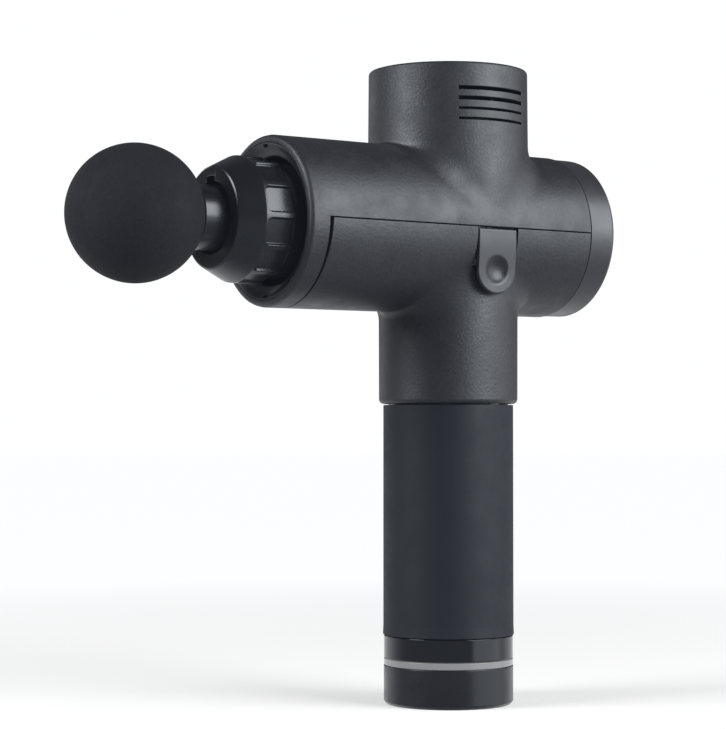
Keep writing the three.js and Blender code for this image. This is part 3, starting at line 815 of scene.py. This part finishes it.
collar_profile = rounded(
    [(16, 66), (21.0, 66, 0.3), (21.0, FLUTE_REAR - 0.2), (COLLAR_R, FLUTE_REAR + 0.1, 0.3),
     (COLLAR_R, SHOULDER, 1.3), (18.5, COLLAR_FACE - 0.35, 0.3), (17.9, COLLAR_FACE, 0.3),
     (13.1, COLLAR_FACE, 0.35), (13.1, COLLAR_FACE - 5.5), (16, COLLAR_FACE - 5.5)],
    closed=True,
)
collar_profile = np.concatenate([collar_profile, collar_profile[:1]])
collar_profile = dense(collar_profile, FLUTE_REAR - 0.5, SHOULDER, 64)[:-1]
turned_piece(
    "lock_collar_ring", collar_profile, COLLAR_SEGMENTS, "forward", "collar",
    LOOK["collar"], ("lock_collar",), closed=True, reshape=ribbed,
)

# ---------------------------------------------------------------- massage head
ball_r = float(BALL_HIGH[1])
ball_z = -float(BALL_LOW[0]) - ball_r
BALL_SEAT = 114.75  # how far forward the ball's flat end is, which sits on the stem's shoulder
mouth_r = math.sqrt(ball_r ** 2 - (ball_z - BALL_SEAT) ** 2)
start = math.atan2(mouth_r, BALL_SEAT - ball_z)
ball_profile = [(0, 140.4), (8.3, 140.4), (8.3, BALL_SEAT + 0.6), (8.9, BALL_SEAT)]
for t in np.linspace(0, 1, 90):
    angle = start * (1 - t)
    ball_profile.append((ball_r * math.sin(angle), ball_z + ball_r * math.cos(angle)))
ball_profile[-1] = (0, ball_z + ball_r)
ball = turned_piece(
    "foam_ball", ball_profile, 160, "forward", "massage_head", LOOK["foam"], ("ball_head",)
)
turned_piece(
    "head_stem_turned",
    rounded(
        [(0, 68.8), (11.8, 68.8, 0.8), (11.8, 76), (10.5, 76), (10.5, 78.8), (11.8, 78.8), (11.8, 88),
         (10.5, 88), (10.5, 90.8), (11.8, 90.8), (11.8, 114.4, 0.5), (8, 114.4), (8, 140), (0, 140)],
    ),
    128, "forward", "massage_head", LOOK["collar"], ("head_stem",),
)

# ---------------------------------------------------------------- battery grip
grip_r = float(SLEEVE_HIGH[0])
turned_piece(
    "silicone_sleeve",
    rounded(
        [(22.7, SLEEVE_LOW[2]), (grip_r + 0.15, SLEEVE_LOW[2], 0.2), (grip_r + 0.1, SLEEVE_LOW[2] + 1.2, 1.0),
         (grip_r, SLEEVE_LOW[2] + 4, 1.0), (grip_r, SLEEVE_HIGH[2], 0.25), (22.7, SLEEVE_HIGH[2])],
        closed=True,
    ),
    192, "up", "battery_grip", LOOK["sleeve"], ("grip_sleeve",), closed=True,
)
band_top = 25.9
band_r = float(TUBE_HIGH[0])
light_r = float(LIGHT_HIGH[0])
base_r = float(BASE_HIGH[0])
light_bottom = float(LIGHT_LOW[2]) - 0.4
base_top = light_bottom - 0.1
turned_piece(
    "grip_tube_band",
    rounded(
        [(20.6, TUBE_LOW[2]), (band_r, TUBE_LOW[2], 0.25), (band_r, band_top, 0.2), (22.4, band_top),
         (22.4, 113.2), (22.9, 113.2), (22.9, TUBE_HIGH[2], 0.5), (20.6, TUBE_HIGH[2])],
        closed=True,
    ),
    192, "up", "battery_grip", LOOK["gloss"], ("grip_tube",), closed=True,
)
turned_piece(
    "light_ring_guide",
    rounded(
        [(21.5, light_bottom), (light_r, light_bottom, 0.3),
         (light_r, LIGHT_HIGH[2], 0.3), (21.5, LIGHT_HIGH[2])],
        closed=True,
    ),
    192, "up", "battery_grip", LOOK["light"], ("light_ring",), closed=True,
)
base = turned_piece(
    "base_cap_shell",
    rounded(
        [(0, 0), (12, 0), (19, 0), (base_r - 1.1, 0, 0.4), (base_r, 1.1, 0.8), (base_r, base_top, 0.3),
         (21.2, base_top), (21.2, 17.2), (20.2, 17.2), (20.2, 13), (21.9, 11.3), (21.9, 3.2), (0, 3.2)],
        steps=6,
    ),
    192, "up", "battery_grip", LOOK["base"], ("base_cap",),
)
JACK_HOLE = (np.array([8.3, -4.8, -1]), np.array([15.7, 4.8, 3.4]))
carved(base, [JACK_HOLE])

# ---------------------------------------------------------------- floor, light and camera
YAW = math.radians(-34.79)  # the camera's turn about Z
CAMERA_SPOT = (-0.5220, -0.6945, 0.1045)
CAMERA_TILT = math.radians(91.581)
FOCAL_LENGTH = 113.0
FLOOR_R = 8
FLOOR_START, FLOOR_END = 0.05, 0.7  # distances from the object between which the floor changes
FLOOR_GLOW, FLOOR_FAR = 0.42, 0.975  # its own light, near and far
FLOOR_TONE, FLOOR_FAR_TONE = 0.60, 0.02  # its colour, near and far
AMBIENT, WALL_GLOW = 0.02, 0.12  # the world's light all round, and from the wall behind the object
BELOW_FRONT, BELOW_BACK = 0.28, 0.9  # its light from below the horizon
LOW_RIGHT = 1.3
LIGHT_AIM = 0.16  # height that the lamps face
BLACK_LIFT = (0.0045, 0.0055, 0.0075)  # how far the view lifts black, per channel
LAMPS = (  # name, azimuth and elevation in degrees, distance, width, height, watts
    ("key_right", 59, 22, 1.1, 0.85, 0.8, 18),
    ("side_right", 100, 16, 1.1, 0.5, 0.8, 2.5),
    ("fill_left", -66, 24, 1.1, 0.5, 0.7, 12.8),
    ("edge_left", -140, 12, 1.1, 0.4, 0.6, 0.7),
)


def build_camera():
    lens = bpy.data.cameras.new("camera")
    lens.sensor_fit = "HORIZONTAL"
    lens.sensor_width = 36
    lens.lens = FOCAL_LENGTH
    lens.clip_end = 50
    camera = bpy.data.objects.new("camera", lens)
    camera.location = CAMERA_SPOT
    camera.rotation_euler = (CAMERA_TILT, 0, YAW)
    bpy.context.scene.collection.objects.link(camera)
    bpy.context.scene.camera = camera


def floor_material():
    """A pale sweep: it takes shadows round the object, and glows evenly further out."""
    material = bpy.data.materials.new("pale_floor")
    material.use_nodes = True
    tree = material.node_tree
    nodes, links = tree.nodes, tree.links
    shader = nodes["Principled BSDF"]
    shader.inputs["Roughness"].default_value = 0.5
    shader.inputs["Specular IOR Level"].default_value = 0.15
    shader.inputs["Emission Color"].default_value = (0.985, 0.99, 1, 1)
    place = nodes.new("ShaderNodeTexCoord").outputs["Object"]
    distance = nodes.new("ShaderNodeVectorMath")
    distance.operation = "LENGTH"
    links.new(place, distance.inputs[0])
    away = distance.outputs["Value"]
    glow = remapped(tree, away, FLOOR_START, FLOOR_END, FLOOR_GLOW, FLOOR_FAR)
    tone = remapped(tree, away, FLOOR_START, FLOOR_END, FLOOR_TONE, FLOOR_FAR_TONE)
    links.new(glow, shader.inputs["Emission Strength"])
    links.new(tone, shader.inputs["Base Color"])
    return material


def build_floor():
    bm = bmesh.new()
    bmesh.ops.create_circle(bm, cap_ends=True, radius=FLOOR_R, segments=96)
    mesh = bpy.data.meshes.new("floor")
    bm.to_mesh(mesh)
    bm.free()
    mesh.materials.append(floor_material())
    floor = bpy.data.objects.new("floor", mesh)
    bpy.context.scene.collection.objects.link(floor)
    floor.visible_glossy = False


def soft_light(name, azimuth, elevation, distance, width, height, power):
    """A large soft lamp that faces the object. Its azimuth is 0 on the camera's side and 90 to its right."""
    lamp = bpy.data.lights.new(name, "AREA")
    lamp.shape = "RECTANGLE"
    lamp.size, lamp.size_y = width, height
    lamp.energy = power
    holder = bpy.data.objects.new(name, lamp)
    bpy.context.scene.collection.objects.link(holder)
    turn, rise = math.radians(azimuth) + YAW - math.pi / 2, math.radians(elevation)
    way = Vector((math.cos(turn) * math.cos(rise), math.sin(turn) * math.cos(rise), math.sin(rise)))
    holder.location = Vector((0, 0, LIGHT_AIM)) + way * distance
    holder.visible_camera = False
    holder.rotation_euler = (-way).to_track_quat("-Z", "Y").to_euler()


def build_world():
    """White where the camera sees it. As light it is a pale wall behind the object, dim elsewhere.

    Below the horizon it stands in for the floor's reflection: bright far behind and low on the right.
    """
    world = bpy.data.worlds.new("studio")
    bpy.context.scene.world = world
    world.use_nodes = True
    tree = world.node_tree
    nodes, links = tree.nodes, tree.links
    place = nodes.new("ShaderNodeTexCoord").outputs["Generated"]

    def facing(direction):
        node = nodes.new("ShaderNodeVectorMath")
        node.operation = "DOT_PRODUCT"
        node.inputs[1].default_value = direction
        links.new(place, node.inputs[0])
        return node.outputs["Value"]

    def remap(value, start, end, low, high):
        return remapped(tree, value, start, end, low, high, "SMOOTHSTEP")

    def combined(operation, one, other):
        node = nodes.new("ShaderNodeMath")
        node.operation = operation
        links.new(one, node.inputs[0])
        links.new(other, node.inputs[1])
        return node.outputs["Value"]

    behind = facing((-math.sin(YAW), math.cos(YAW), 0))
    right = facing((math.cos(YAW), math.sin(YAW), 0))
    up = facing((0, 0, 1))
    wall = remap(behind, 0.25, 0.75, AMBIENT, WALL_GLOW)
    low_right = combined("MULTIPLY", remap(right, 0.6, 0.75, 0, LOW_RIGHT), remap(up, -0.35, -0.15, 0, 1))
    low_right = combined("MULTIPLY", low_right, remap(behind, 0.0, 0.4, 1, 0))
    below = combined("ADD", remap(behind, -0.1, 0.6, BELOW_FRONT, BELOW_BACK), low_right)
    light = combined("ADD", wall, combined("MULTIPLY", below, remap(up, -0.06, 0, 1, 0)))
    strength = nodes.new("ShaderNodeMapRange")
    strength.inputs["To Max"].default_value = 1.03
    links.new(nodes.new("ShaderNodeLightPath").outputs["Is Camera Ray"], strength.inputs["Value"])
    links.new(light, strength.inputs["To Min"])
    sky = nodes["Background"]
    sky.inputs["Color"].default_value = (0.97, 0.98, 1, 1)
    links.new(strength.outputs["Result"], sky.inputs["Strength"])


build_floor()
build_camera()
for lamp in LAMPS:
    soft_light(*lamp)
build_world()
view = bpy.context.scene.view_settings
view.view_transform = "Standard"
view.use_curve_mapping = True
for curve, lift in zip(view.curve_mapping.curves, BLACK_LIFT):
    curve.points[0].location = (0, lift)
view.curve_mapping.update()
